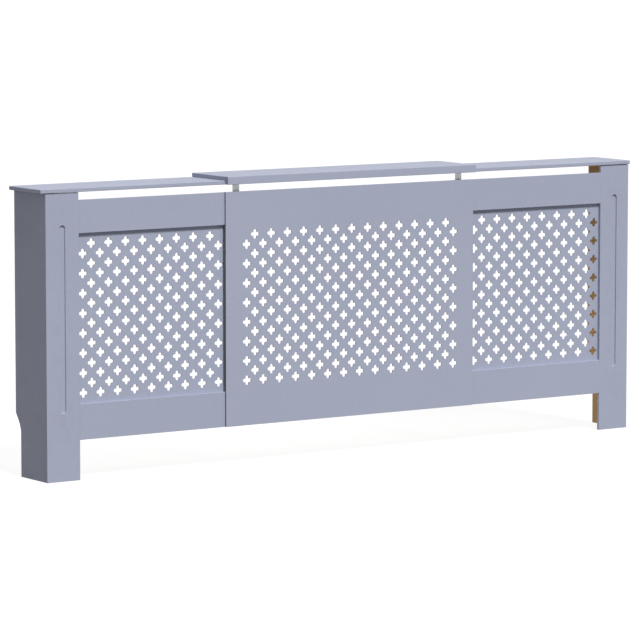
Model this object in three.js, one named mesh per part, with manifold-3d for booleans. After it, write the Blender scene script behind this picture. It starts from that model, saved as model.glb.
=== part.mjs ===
// Extendable radiator cover cabinet in painted fibreboard.
//
// Two end units stand on the floor and a wider middle unit bridges them. Each end unit is a side
// panel, a front frame of two stiles and two rails, a pierced grille behind that frame, and a
// shelf. The middle unit's pierced panel slides in front of the two frames and its shelf slides
// over the two end shelves, so the cover fits radiators of different lengths. It is drawn pulled
// out to its full length.
//
// Millimetres, +Z up, +X along the wall, +Y towards the wall. The origin lies on the floor, at the
// centre of the cabinet's bounding box. "Outward" distances are counted along X from the middle of
// the cabinet, and "back" distances along Y from the front face of the end units' frames.

import * as THREE from 'three';
import { mergeVertices } from 'three/addons/utils/BufferGeometryUtils.js';
import Module from 'manifold-3d';

const manifold = await Module();
manifold.setup();

// ---------------------------------------------------------------- driving dimensions

const SPAN = 2020;                 // between the outer faces of the two side panels, pulled out
const SIDE_DEPTH = 173;            // front of the frame to the wall
const UNIT_HEIGHT = 799;           // floor to the underside of the end shelves

const FRAME_BOARD = 9;             // stiles and rails
const SIDE_BOARD = 18;             // side panels
const SHELF_BOARD = 11;            // all three shelves
const FASCIA_BOARD = 15;           // front edging of the middle shelf
const GRILLE_BOARD = 3;            // pierced boards behind the end frames
const PANEL_BOARD = 5;             // pierced middle panel
const BATTEN = 16;                 // square section of the glue battens and cleats
const SLIDE_GAP = 0.5;             // running clearance between the middle and the end units

const STILE_WIDTH = 105;
const RAIL_BOTTOM = 112;           // underside of the bottom rails and of the middle panel
const BOTTOM_RAIL_TOP = 212;
const TOP_RAIL_BOTTOM = 685;
const RAIL_TOP = 777;              // an air slot stays open between here and the shelves

const PANEL_HALF_LENGTH = 430;     // the middle unit, from its centre to either end
const PANEL_TOP = 778;
const FRAME_INNER_END = 369.5;     // outward distance of the end frames' hidden inner ends
const INNER_STILE_NEAR = 388;      // outward distances of the inner stiles' two edges: clear of the
const INNER_STILE_FAR = 415.5;     // middle panel's last crosses, and hidden behind its solid margin

const SHELF_END_OVERHANG = { left: 17, right: 5 };   // past the side panels, as fitted
const SHELF_FRONT_OVERHANG = 3;
const SHELF_INNER_END = 372;
const SHELF_CORNER_RADIUS = 4;

// The pierced pattern: columns of crosses, each column half a pitch off its neighbours.
const CROSS_REACH = 15.5;          // centre of a cross to the tip of an arm
const CROSS_WAIST = 6.2;           // centre to the inner corners, along X and along Z
const COLUMN_PITCH = 27.65;
const CROSS_PITCH = 2 * COLUMN_PITCH;
const CROSSES_PER_COLUMN = 8;
const LOWEST_CROSS = 240.5;        // height of the lowest cross centres
const END_COLUMNS = 17;
const MIDDLE_COLUMNS = 27;
const OUTERMOST_COLUMN = 887.5;    // outward distance of an end grille's column by the stile
const GRILLE_LAP = 20;             // how far a grille board runs behind its frame

// Stopped flute down the middle of each outer stile: a flat-bottomed groove with round ends.
const FLUTE_WIDTH = 19;
const FLUTE_DEPTH = 3;
const FLUTE_BOTTOM = 188;
const FLUTE_TOP = 712;

// Cut-out that lets the side panels pass over a skirting board.
const SKIRTING_CUT_DEPTH = 28;
const SKIRTING_CUT_STRAIGHT = 120; // height where the upright edge starts to curve back
const SKIRTING_CUT_TOP = 178;

// Steel angles. Legs are outside lengths.
const SHELF_BRACKET = { width: 22, gauge: 2, bend: 3, down: 74, back: 36, outward: 375 };
const WALL_BRACKET = { width: 20, gauge: 2, bend: 3, leg: 30, bottom: 705 };

const CLEAT_FRONT = 30;            // back distances of the shelf cleats' two ends
const CLEAT_BACK = 90;
const BATTEN_BOTTOM = 20;

const RUNNER_THICKNESS = 8;        // battens on the middle panel's back, running in the recesses

const HALF_SPAN = SPAN / 2;
const SIDES = { left: -1, right: 1 };

// ---------------------------------------------------------------- materials

const paintedBoard = new THREE.MeshStandardMaterial({ color: 0x9ba0b3, roughness: 0.55, metalness: 0 });
const bareBoard = new THREE.MeshStandardMaterial({ color: 0x96744a, roughness: 0.85, metalness: 0 });
const zincSteel = new THREE.MeshStandardMaterial({ color: 0xa3a6a6, roughness: 0.4, metalness: 0.9 });

// ---------------------------------------------------------------- geometry helpers

/** Turn a shape drawn in X and Z, and extruded, so that its thickness runs back from Y = 0. */
function facingFront(shape, thickness) {
  const geometry = new THREE.ExtrudeGeometry(shape, { depth: thickness, bevelEnabled: false, curveSegments: 6 });
  geometry.rotateX(Math.PI / 2);
  return geometry.translate(0, thickness, 0);
}

/** Turn a shape drawn in Y and Z, and extruded, so that its thickness runs along +X from X = 0. */
function facingSide(shape, thickness) {
  const geometry = new THREE.ExtrudeGeometry(shape, { depth: thickness, bevelEnabled: false, curveSegments: 8 });
  geometry.rotateX(Math.PI / 2);
  return geometry.rotateZ(Math.PI / 2);
}

/** Rectangle with its lower left corner at the shape's origin. */
function rectangle(width, height) {
  const shape = new THREE.Shape();
  shape.moveTo(0, 0);
  shape.lineTo(width, 0);
  shape.lineTo(width, height);
  shape.lineTo(0, height);
  shape.closePath();
  return shape;
}

/** Closed solid of a geometry, for a boolean cut. Lathe poles leave flat triangles: they go. */
function toSolid(geometry) {
  const bare = geometry.clone();
  bare.deleteAttribute('normal');
  bare.deleteAttribute('uv');
  const merged = mergeVertices(bare, 1e-4);
  const corners = merged.index.array;
  const kept = [];
  for (let i = 0; i < corners.length; i += 3) {
    const [a, b, c] = corners.slice(i, i + 3);
    if (a !== b && b !== c && c !== a) kept.push(a, b, c);
  }
  const vertProperties = new Float32Array(merged.attributes.position.array);
  return new manifold.Manifold(new manifold.Mesh({ numProp: 3, vertProperties, triVerts: new Uint32Array(kept) }));
}

/** Geometry of a solid that a boolean cut has made. */
function toGeometry(solid) {
  const { vertProperties, triVerts } = solid.getMesh();
  const geometry = new THREE.BufferGeometry();
  geometry.setAttribute('position', new THREE.BufferAttribute(vertProperties, 3));
  geometry.setIndex(new THREE.BufferAttribute(triVerts, 1));
  geometry.computeVertexNormals();
  return geometry;
}

/** Named mesh with its geometry's origin at [x, y, z]. */
function piece(name, geometry, material, [x, y, z]) {
  const mesh = new THREE.Mesh(geometry, material);
  mesh.name = name;
  mesh.position.set(x, y, z);
  return mesh;
}

/** Plain board: a box given by its lowest corner and its size. */
function board(name, [x, y, z], [width, depth, height], material = paintedBoard) {
  const geometry = new THREE.BoxGeometry(width, depth, height);
  geometry.translate(width / 2, depth / 2, height / 2);
  return piece(name, geometry, material, [x, y, z]);
}

/** Lowest X of a piece that spans from one outward distance to a larger one, on either side. */
function lowX(side, near, far) {
  return SIDES[side] > 0 ? near : -far;
}

// ---------------------------------------------------------------- pierced pattern

/** Outline of one cross-shaped hole: four arm tips and four inner corners, in turn. */
function crossOutline(centreX, centreZ) {
  const hole = new THREE.Path();
  for (let corner = 0; corner < 8; corner += 1) {
    const angle = corner * Math.PI / 4;
    const radius = corner % 2 === 0 ? CROSS_REACH : CROSS_WAIST * Math.SQRT2;
    const x = centreX + radius * Math.cos(angle);
    const z = centreZ + radius * Math.sin(angle);
    if (corner === 0) hole.moveTo(x, z);
    else hole.lineTo(x, z);
  }
  hole.closePath();
  return hole;
}

/**
 * Pierce a board's shape with staggered columns of crosses.
 * The shape's origin is the board's lower left corner, at height boardBottom above the floor.
 */
function pierce(shape, firstColumnX, columns, boardBottom) {
  for (let column = 0; column < columns; column += 1) {
    const stagger = column % 2 === 0 ? 0 : CROSS_PITCH / 2;
    for (let row = 0; row < CROSSES_PER_COLUMN; row += 1) {
      const height = LOWEST_CROSS + stagger + row * CROSS_PITCH;
      shape.holes.push(crossOutline(firstColumnX + column * COLUMN_PITCH, height - boardBottom));
    }
  }
  return shape;
}

// ---------------------------------------------------------------- end unit pieces

/** Side panel: an upright board, cut away at the lower back in a curve to clear the skirting. */
function sidePanel(side) {
  const back = SIDE_DEPTH - FRAME_BOARD;
  const legBack = back - SKIRTING_CUT_DEPTH;
  const curve = SKIRTING_CUT_TOP - SKIRTING_CUT_STRAIGHT;
  const shape = new THREE.Shape();
  shape.moveTo(0, 0);
  shape.lineTo(legBack, 0);
  shape.lineTo(legBack, SKIRTING_CUT_STRAIGHT);
  shape.bezierCurveTo(
    legBack, SKIRTING_CUT_STRAIGHT + 0.4 * curve,
    back - 0.3 * SKIRTING_CUT_DEPTH, SKIRTING_CUT_TOP - 0.25 * curve,
    back, SKIRTING_CUT_TOP,
  );
  shape.lineTo(back, UNIT_HEIGHT);
  shape.lineTo(0, UNIT_HEIGHT);
  shape.closePath();
  const x = lowX(side, HALF_SPAN - SIDE_BOARD, HALF_SPAN);
  return piece(`${side}_side_panel`, facingSide(shape, SIDE_BOARD), paintedBoard, [x, FRAME_BOARD, 0]);
}

/** Cutter for the stile's flute: an upright bar with round ends that bites in from the front. */
function fluteCutter() {
  const round = FLUTE_WIDTH / 2;
  const lift = (FLUTE_TOP - FLUTE_BOTTOM) / 2 - round;
  const shape = new THREE.Shape();
  shape.absarc(0, lift, round, 0, Math.PI, false);
  shape.absarc(0, -lift, round, Math.PI, 2 * Math.PI, false);
  shape.closePath();
  const bar = facingFront(shape, 2 * FLUTE_DEPTH);
  return bar.translate(STILE_WIDTH / 2, -FLUTE_DEPTH, (FLUTE_TOP + FLUTE_BOTTOM) / 2);
}

/** Outer stile: it runs from the floor to the shelf as the cabinet's front leg. */
function outerStile(side) {
  const blank = facingFront(rectangle(STILE_WIDTH, UNIT_HEIGHT), FRAME_BOARD);
  const fluted = toSolid(blank).subtract(toSolid(fluteCutter()));
  const x = lowX(side, HALF_SPAN - STILE_WIDTH, HALF_SPAN);
  return piece(`${side}_outer_stile`, toGeometry(fluted), paintedBoard, [x, 0, 0]);
}

/** Inner stile, hidden behind the middle panel: it ties the two rails and stops the runner. */
function innerStile(side) {
  const width = INNER_STILE_FAR - INNER_STILE_NEAR;
  const x = lowX(side, INNER_STILE_NEAR, INNER_STILE_FAR);
  const height = TOP_RAIL_BOTTOM - BOTTOM_RAIL_TOP;
  return board(`${side}_inner_stile`, [x, 0, BOTTOM_RAIL_TOP], [width, FRAME_BOARD, height]);
}

/** Top or bottom rail: from the outer stile inwards, past the inner stile. */
function rail(side, which, bottom, top) {
  const far = HALF_SPAN - STILE_WIDTH;
  const x = lowX(side, FRAME_INNER_END, far);
  return board(`${side}_${which}_rail`, [x, 0, bottom], [far - FRAME_INNER_END, FRAME_BOARD, top - bottom]);
}

/** Pierced board fixed on the back of the end frame, lapping behind it on all four sides. */
function endGrille(side) {
  const near = INNER_STILE_FAR - GRILLE_LAP;
  const far = HALF_SPAN - STILE_WIDTH + GRILLE_LAP;
  const bottom = BOTTOM_RAIL_TOP - GRILLE_LAP;
  const height = TOP_RAIL_BOTTOM + GRILLE_LAP - bottom;
  const x = lowX(side, near, far);
  const innermostColumn = OUTERMOST_COLUMN - (END_COLUMNS - 1) * COLUMN_PITCH;
  const firstColumn = lowX(side, innermostColumn, OUTERMOST_COLUMN) - x;
  const shape = pierce(rectangle(far - near, height), firstColumn, END_COLUMNS, bottom);
  return piece(`${side}_grille`, facingFront(shape, GRILLE_BOARD), paintedBoard, [x, FRAME_BOARD, bottom]);
}

/** End shelf: a thin board with its two outer corners rounded, overhanging front and end. */
function endShelf(side) {
  const length = HALF_SPAN + SHELF_END_OVERHANG[side] - SHELF_INNER_END;
  const depth = SIDE_DEPTH + SHELF_FRONT_OVERHANG;
  const round = SHELF_CORNER_RADIUS;
  const shape = new THREE.Shape();
  shape.moveTo(0, 0);
  shape.lineTo(length - round, 0);
  shape.absarc(length - round, round, round, -Math.PI / 2, 0, false);
  shape.lineTo(length, depth - round);
  shape.absarc(length - round, depth - round, round, 0, Math.PI / 2, false);
  shape.lineTo(0, depth);
  shape.closePath();
  const geometry = new THREE.ExtrudeGeometry(shape, { depth: SHELF_BOARD, bevelEnabled: false, curveSegments: 4 });
  if (side === 'left') {
    // Half a turn about +Z brings the rounded end to the left and keeps the board's depth.
    geometry.rotateZ(Math.PI);
    geometry.translate(0, depth, 0);
  }
  const x = SIDES[side] * SHELF_INNER_END;
  return piece(`${side}_shelf`, geometry, paintedBoard, [x, -SHELF_FRONT_OVERHANG, UNIT_HEIGHT]);
}

/** Glue batten in the upright corner between the side panel and the outer stile. */
function cornerBatten(side) {
  const far = HALF_SPAN - SIDE_BOARD;
  const x = lowX(side, far - BATTEN, far);
  const height = UNIT_HEIGHT - BATTEN_BOTTOM;
  return board(`${side}_corner_batten`, [x, FRAME_BOARD, BATTEN_BOTTOM], [BATTEN, BATTEN, height], bareBoard);
}

/** Cleat that joins the shelf's underside to the side panel, behind the corner batten. */
function shelfCleat(side) {
  const far = HALF_SPAN - SIDE_BOARD;
  const x = lowX(side, far - BATTEN, far);
  const length = CLEAT_BACK - CLEAT_FRONT;
  return board(`${side}_shelf_cleat`, [x, CLEAT_FRONT, UNIT_HEIGHT - BATTEN], [BATTEN, length, BATTEN], bareBoard);
}

/** Section of a bent steel angle: one leg up from the origin, the other along +X, round heel. */
function angleSection(upright, flat, gauge, bend) {
  const shape = new THREE.Shape();
  shape.moveTo(0, 0);
  shape.lineTo(gauge, 0);
  shape.lineTo(gauge, upright - bend);
  shape.absarc(bend, upright - bend, bend - gauge, Math.PI, Math.PI / 2, true);
  shape.lineTo(flat, upright - gauge);
  shape.lineTo(flat, upright);
  shape.lineTo(bend, upright);
  shape.absarc(bend, upright - bend, bend, Math.PI / 2, Math.PI, false);
  shape.closePath();
  return shape;
}

/** Steel angle that carries the shelf's inner end off the back of the frame, across the slot. */
function shelfBracket(side) {
  const { width, gauge, bend, down, back, outward } = SHELF_BRACKET;
  const geometry = facingSide(angleSection(down, back, gauge, bend), width);
  const x = lowX(side, outward, outward + width);
  return piece(`${side}_shelf_bracket`, geometry, zincSteel, [x, FRAME_BOARD, UNIT_HEIGHT - down]);
}

/** Steel angle inside the side panel's back edge, for a screw into the wall. */
function wallBracket(side) {
  const { width, gauge, bend, leg, bottom } = WALL_BRACKET;
  const geometry = new THREE.ExtrudeGeometry(
    angleSection(leg, leg, gauge, bend), { depth: width, bevelEnabled: false, curveSegments: 8 },
  );
  const panelInside = SIDES[side] * (HALF_SPAN - SIDE_BOARD);
  if (side === 'left') return piece(`${side}_wall_bracket`, geometry, zincSteel, [panelInside, SIDE_DEPTH - leg, bottom]);
  // Half a turn about +Y mirrors the angle left to right, because its two ends are alike.
  geometry.rotateY(Math.PI);
  geometry.translate(0, 0, width);
  return piece(`${side}_wall_bracket`, geometry, zincSteel, [panelInside, SIDE_DEPTH - leg, bottom]);
}

/** Everything that moves with one end unit. */
function endUnit(side) {
  const unit = new THREE.Group();
  unit.add(
    sidePanel(side),
    outerStile(side),
    rail(side, 'top', TOP_RAIL_BOTTOM, RAIL_TOP),
    rail(side, 'bottom', RAIL_BOTTOM, BOTTOM_RAIL_TOP),
    innerStile(side),
    endGrille(side),
    endShelf(side),
    cornerBatten(side),
    shelfCleat(side),
    shelfBracket(side),
    wallBracket(side),
  );
  return unit;
}

// ---------------------------------------------------------------- middle unit pieces

/** Flat pierced panel that slides across the front of both end frames. */
function middlePanel() {
  const length = 2 * PANEL_HALF_LENGTH;
  const firstColumn = PANEL_HALF_LENGTH - (MIDDLE_COLUMNS - 1) / 2 * COLUMN_PITCH;
  const shape = pierce(rectangle(length, PANEL_TOP - RAIL_BOTTOM), firstColumn, MIDDLE_COLUMNS, RAIL_BOTTOM);
  const front = -(PANEL_BOARD + SLIDE_GAP);
  return piece('middle_panel', facingFront(shape, PANEL_BOARD), paintedBoard, [-PANEL_HALF_LENGTH, front, RAIL_BOTTOM]);
}

/**
 * Batten on the panel's back, flush with its end: it rides on the bottom rail, under the top rail,
 * in the recess, and stops against the inner stile.
 */
function runner(side) {
  const near = INNER_STILE_FAR + SLIDE_GAP;
  const bottom = BOTTOM_RAIL_TOP + SLIDE_GAP;
  const height = TOP_RAIL_BOTTOM - SLIDE_GAP - bottom;
  const x = lowX(side, near, PANEL_HALF_LENGTH);
  const size = [PANEL_HALF_LENGTH - near, RUNNER_THICKNESS, height];
  return board(`middle_${side}_runner`, [x, -SLIDE_GAP, bottom], size);
}

/** Height of the middle shelf's underside: it runs just clear of the end shelves. */
function middleShelfBottom() {
  return UNIT_HEIGHT + SHELF_BOARD + SLIDE_GAP;
}

/** Back distance of the fascia's rear face: it runs just clear of the end shelves' front edges. */
function fasciaBack() {
  return -(SHELF_FRONT_OVERHANG + SLIDE_GAP);
}

/** Shelf of the middle unit, lying over the two end shelves. */
function middleShelf() {
  const front = fasciaBack();
  const size = [2 * PANEL_HALF_LENGTH, SIDE_DEPTH - front, SHELF_BOARD];
  return board('middle_shelf', [-PANEL_HALF_LENGTH, front, middleShelfBottom()], size);
}

/** Fascia glued to the middle shelf's front edge: it covers the end shelves' front edges as well. */
function middleFascia() {
  const corner = [-PANEL_HALF_LENGTH, fasciaBack() - FASCIA_BOARD, UNIT_HEIGHT];
  const height = middleShelfBottom() + SHELF_BOARD - UNIT_HEIGHT;
  return board('middle_shelf_fascia', corner, [2 * PANEL_HALF_LENGTH, FASCIA_BOARD, height]);
}

/** Everything that moves with the middle unit. */
function middleUnit() {
  const unit = new THREE.Group();
  unit.add(middlePanel(), runner('left'), runner('right'), middleShelf(), middleFascia());
  return unit;
}

// ---------------------------------------------------------------- assembly

/** Moves the drawing's own zero to the centre of the bounding box, on the floor. */
function originShift() {
  const sideways = (SHELF_END_OVERHANG.left - SHELF_END_OVERHANG.right) / 2;
  const front = fasciaBack() - FASCIA_BOARD;
  return [sideways, -(front + SIDE_DEPTH) / 2, 0];
}

const cabinet = new THREE.Group();
cabinet.position.set(...originShift());
cabinet.add(middleUnit(), endUnit('left'), endUnit('right'));

export default cabinet;
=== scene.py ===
"""Dressed model of an extendable radiator cover cabinet in painted fibreboard.

Two end units stand on the floor: side panel, fluted outer stile, rails, pierced grille and shelf.
A middle unit bridges them: its pierced panel slides across the end frames and its shelf slides over
the end shelves. Sizes in the classes are millimetres; meshes are metres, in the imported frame.
"""

from __future__ import annotations

import logging
import math
from dataclasses import dataclass, field
from enum import Enum

import bpy
import numpy as np
from bpy.types import Material, Node, NodeOutputs, NodeSocket, NodeTree, Object
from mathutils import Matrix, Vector


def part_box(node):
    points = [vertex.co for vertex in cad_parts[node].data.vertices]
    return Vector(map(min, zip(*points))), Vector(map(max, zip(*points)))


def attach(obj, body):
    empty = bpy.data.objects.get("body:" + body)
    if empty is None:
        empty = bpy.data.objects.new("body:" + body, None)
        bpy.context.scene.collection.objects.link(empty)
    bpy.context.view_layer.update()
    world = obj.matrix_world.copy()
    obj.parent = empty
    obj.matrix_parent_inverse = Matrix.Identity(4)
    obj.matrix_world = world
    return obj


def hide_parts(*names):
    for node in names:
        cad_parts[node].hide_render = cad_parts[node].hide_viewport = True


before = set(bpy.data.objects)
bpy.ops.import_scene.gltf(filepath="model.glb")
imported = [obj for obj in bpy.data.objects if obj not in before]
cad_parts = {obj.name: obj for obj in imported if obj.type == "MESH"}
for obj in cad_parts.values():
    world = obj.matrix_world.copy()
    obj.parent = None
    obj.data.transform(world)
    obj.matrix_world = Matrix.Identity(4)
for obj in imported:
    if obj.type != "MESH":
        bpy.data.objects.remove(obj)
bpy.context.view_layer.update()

log = logging.getLogger("radiator_cover")

MM = 0.001
TINY = 1e-12
WEAR_ATTRIBUTE = "worn"
ARC_POINTS = 5
QUARTER_TURN = np.linspace(0, math.pi / 2, 4)  # angles of the points over an arris
ARC_SHARE = 0.45  # most of an edge that the arc at one of its corners takes
CORNER_TO_EASE = 1.2  # a board's corner radius, in radii of its eased edges
FACING_COSINE = 0.9  # a face looks along a direction where their cosine is above this

Array = np.ndarray
Colour = tuple[float, float, float, float]
Direction = tuple[float, float, float]
FORWARDS: Direction = (0.0, -1.0, 0.0)
BACKWARDS: Direction = (0.0, 1.0, 0.0)
LEFTWARDS: Direction = (-1.0, 0.0, 0.0)
RIGHTWARDS: Direction = (1.0, 0.0, 0.0)
DOWNWARDS: Direction = (0.0, 0.0, -1.0)
WHITE: Colour = (1.0, 1.0, 1.0, 1.0)
MID_GREY: Colour = (0.5, 0.5, 0.5, 1.0)


# ---- options


class Side(Enum):
    """The two end units, with the sign of their direction along X."""

    LEFT = -1
    RIGHT = 1

    @property
    def word(self) -> str:
        """The side's name as the CAD nodes spell it."""
        return self.name.lower()

    @property
    def body(self) -> str:
        """The CAD body that this end unit's pieces ride on."""
        return f"{self.word}_unit"


class Facing(Enum):
    """How a board lies: the frame axes of its width, its height and its thickness."""

    FRONT = (0, 2, 1)
    END = (1, 2, 0)
    TOP = (0, 1, 2)


class Slot(Enum):
    """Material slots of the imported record."""

    PAINTED = "painted_board"
    BARE = "bare_board"
    ZINC = "zinc_steel"


@dataclass(frozen=True)
class Look:
    """A piece's slot, its main material and those of its faces that look along given directions."""

    slot: Slot
    main: Material
    faces: dict[Direction, Material] = field(default_factory=dict)


# ---- mesh building


@dataclass(frozen=True)
class Outline:
    """A closed flat outline, counter-clockwise, with the outward normal at each point."""

    points: Array
    normals: Array


def rounded_outline(corners: Array, radius: float | Array) -> Outline:
    """Outline of a counter-clockwise polygon, with an arc of ARC_POINTS points for each corner.

    At a corner that turns by an angle f, the arc of radius r starts r·tan(f/2) before the corner.
    Its normals turn evenly from one edge's normal to the next, and each point is the arc's centre
    plus r times the normal (minus, where the corner is hollow).

    Args:
        corners: Corner points, K×2.
        radius: Arc radius, one for all corners or one each. It shrinks where edges are short.

    Returns:
        The outline.
    """
    ahead = np.roll(corners, -1, axis=0) - corners
    length_out = np.linalg.norm(ahead, axis=1)
    out = ahead / length_out[:, None]
    into, length_in = np.roll(out, 1, axis=0), np.roll(length_out, 1)
    turn = np.arctan2(into[:, 0] * out[:, 1] - into[:, 1] * out[:, 0], (into * out).sum(1))
    half = np.tan(np.abs(turn) / 2)
    longest = ARC_SHARE * np.minimum(length_in, length_out)
    reach = np.minimum(np.broadcast_to(radius, turn.shape) * half, longest)
    bend = np.where(half > TINY, reach / np.maximum(half, TINY), 0.0) * np.sign(turn)
    first = np.stack([into[:, 1], -into[:, 0]], axis=1)
    centre = corners - into * reach[:, None] - first * bend[:, None]
    angle = turn[:, None] * np.linspace(0, 1, ARC_POINTS)
    x, y = first[:, :1], first[:, 1:]
    cos, sin = np.cos(angle), np.sin(angle)
    normals = np.stack([x * cos - y * sin, x * sin + y * cos], axis=-1)
    points = centre[:, None] + normals * bend[:, None, None]
    return Outline(points.reshape(-1, 2), normals.reshape(-1, 2))


def rectangle_outline(low: Array, high: Array, radius: float | Array) -> Outline:
    """Outline of a rectangle; its corners' radii are one, or one each from the lowest corner round."""
    corners = [[low[0], low[1]], [high[0], low[1]], [high[0], high[1]], [low[0], high[1]]]
    return rounded_outline(np.array(corners), radius)


def board_points(facing: Facing, across: Array, up: Array, through: Array) -> Array:
    """Frame coordinates, on a last axis of three, of points across, up and through a board."""
    parts = np.broadcast_arrays(across, up, through)
    placed = np.empty(parts[0].shape + (3,))
    placed[..., list(facing.value)] = np.stack(parts, axis=-1)
    return placed


def grid_normals(points: Array) -> Array:
    """Unit normals of a grid of points that closes on itself along its columns.

    Each is the cross product of the differences along the grid's two directions.
    """
    wrapped = np.concatenate([points[:, -1:], points, points[:, :1]], axis=1)
    along = np.gradient(points, axis=0)
    around = np.gradient(wrapped, axis=1)[:, 1:-1]
    normals = np.cross(along, around)
    return normals / np.maximum(np.linalg.norm(normals, axis=-1, keepdims=True), TINY)


def cyclic_run(numbers: Array, start: int, stop: int) -> Array:
    """The numbers from start up to and including stop, going round the end if need be."""
    return np.roll(numbers, -start)[: (stop - start) % len(numbers) + 1]


def put_in_scene(name: str, data: bpy.types.ID) -> Object:
    """Make an object of a mesh, a lamp or a camera and link it to the scene."""
    made = bpy.data.objects.new(name, data)
    bpy.context.scene.collection.objects.link(made)
    return made


class Shell:
    """Points and faces of one closed mesh, gathered as whole arrays."""

    def __init__(self) -> None:
        """Start with no points and no faces."""
        self._points: list[Array] = []
        self._worn: list[Array] = []
        self._faces: list[tuple[Array, Array]] = []
        self._count = 0

    def add_points(self, points: Array, worn: float | Array = 0.0) -> Array:
        """Add a grid of points.

        Args:
            points: Any grid with a last axis of three.
            worn: How exposed each point is to wear, from 0 to 1.

        Returns:
            The points' numbers, in the same grid.
        """
        shape = points.shape[:-1]
        self._points.append(points.reshape(-1, 3))
        self._worn.append(np.broadcast_to(worn, shape).reshape(-1))
        numbers = np.arange(self._count, self._count + self._points[-1].shape[0])
        self._count += len(numbers)
        return numbers.reshape(shape)

    def add_faces(self, numbers: Array, normals: Array | Direction) -> None:
        """Add faces, given as faces × corners, with normals at those corners or one for all."""
        self._faces.append((numbers, np.broadcast_to(normals, numbers.shape + (3,))))

    def add_grid(self, numbers: Array, normals: Array) -> None:
        """Span rows of points, each closed on itself, with four-sided faces.

        Args:
            numbers: Rows × columns, or sets × rows × columns.
            normals: Normals at those points.
        """
        near, far = slice(None, -1), slice(1, None)
        columns = numbers, np.roll(numbers, -1, axis=-1)
        bends = normals, np.roll(normals, -1, axis=-2)
        round_face = ((0, near), (1, near), (1, far), (0, far))
        quads = np.stack([columns[side][..., rows, :] for side, rows in round_face], -1)
        looks = np.stack([bends[side][..., rows, :, :] for side, rows in round_face], -2)
        self.add_faces(quads.reshape(-1, 4), looks.reshape(-1, 4, 3))

    def add_flat_between(
        self, border: Array, hole: Array, hole_splits: tuple[int, int], normal: Direction
    ) -> None:
        """Fill the flat ring between a rounded rectangle and a loop inside it with two faces.

        The faces meet at the middle of the rectangle's lowest corner and of the opposite one.

        Args:
            border: The rectangle's numbers, counter-clockwise from its lowest corner.
            hole: The inner loop's numbers, counter-clockwise.
            hole_splits: The inner loop's places that are joined to those two corners.
            normal: The faces' normal.
        """
        corner = len(border) // 4
        splits = (corner // 2, 2 * corner + corner // 2)
        for (a, b), (c, d) in ((splits, hole_splits), (splits[::-1], hole_splits[::-1])):
            face = np.concatenate([cyclic_run(border, a, b), cyclic_run(hole, c, d)[::-1]])
            self.add_faces(face[None], normal)

    def build(self, name: str, look: Look) -> Object:
        """Make the object. Faces are turned so that they look along their normals.

        Args:
            name: The object's name.
            look: Its finish. The n-th direction in its faces gets the mesh's n-th further material.

        Returns:
            The object, linked to the scene.
        """
        points = np.concatenate(self._points)
        faces, normals, slots = [], [], []
        for numbers, bends in self._faces:
            spots = points[numbers]
            area = np.cross(spots, np.roll(spots, -1, axis=1)).sum(1)
            facing = bends.mean(1)
            turned = (area * facing).sum(1) < 0
            faces += np.where(turned[:, None], numbers[:, ::-1], numbers).tolist()
            normals.append(np.where(turned[:, None, None], bends[:, ::-1], bends).reshape(-1, 3))
            unit = facing / np.maximum(np.linalg.norm(facing, axis=1, keepdims=True), TINY)
            chosen = np.zeros(len(numbers), np.int32)
            for place, direction in enumerate(look.faces, 1):
                chosen[unit @ np.array(direction) > FACING_COSINE] = place
            slots.append(chosen)
        mesh = bpy.data.meshes.new(name)
        mesh.from_pydata(points.tolist(), [], faces)
        mesh.polygons.foreach_set("material_index", np.concatenate(slots))
        mesh.polygons.foreach_set("use_smooth", np.ones(len(faces), bool))
        worn = mesh.attributes.new(WEAR_ATTRIBUTE, "FLOAT", "POINT")
        worn.data.foreach_set("value", np.concatenate(self._worn).astype(np.float32))
        mesh.normals_split_custom_set(np.concatenate(normals).tolist())
        for material in (look.main, *look.faces.values()):
            mesh.materials.append(material)
        return put_in_scene(name, mesh)


def add_slab(
    shell: Shell, outline: Outline, facing: Facing, low: float, high: float, ease: float, closed: bool = True
) -> Array:
    """Add a flat board with eased edges.

    The outline is carried through the thickness. Over each arris it draws in along a quarter
    circle: at angle t from the face it is inset by ease·(1 − sin t) at a depth of
    ease·(1 − cos t), and its normal turns from the face's to the outline's.

    Args:
        shell: The mesh to add to.
        outline: The board's outline, across and up.
        facing: How the board lies.
        low: Lowest coordinate through the thickness.
        high: Highest coordinate through the thickness.
        ease: Radius of the eased edges.
        closed: Whether each face is closed with one flat face.

    Returns:
        Numbers of the rings of points, from the low face to the high one.
    """
    both = np.concatenate([QUARTER_TURN, QUARTER_TURN[::-1]])
    near = np.arange(len(both)) < len(QUARTER_TURN)
    inset = ease * (1 - np.sin(both))
    sunk = ease * (1 - np.cos(both))
    depth = np.where(near, low + sunk, high - sunk)
    through = np.where(near, -np.cos(both), np.cos(both))
    flat = outline.points - outline.normals * inset[:, None, None]
    sideways = outline.normals * np.sin(both)[:, None, None]
    points = board_points(facing, flat[..., 0], flat[..., 1], depth[:, None])
    normals = board_points(facing, sideways[..., 0], sideways[..., 1], through[:, None])
    rings = shell.add_points(points, np.sin(2 * both)[:, None])
    shell.add_grid(rings, normals)
    if closed:
        shell.add_faces(rings[:1], board_points(facing, 0.0, 0.0, -1.0))
        shell.add_faces(rings[-1:], board_points(facing, 0.0, 0.0, 1.0))
    return rings


def cad_box(node: str) -> Array:
    """Lowest and highest corner of a CAD node, 2×3, in metres."""
    return np.array([list(corner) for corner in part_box(node)], float)


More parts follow.
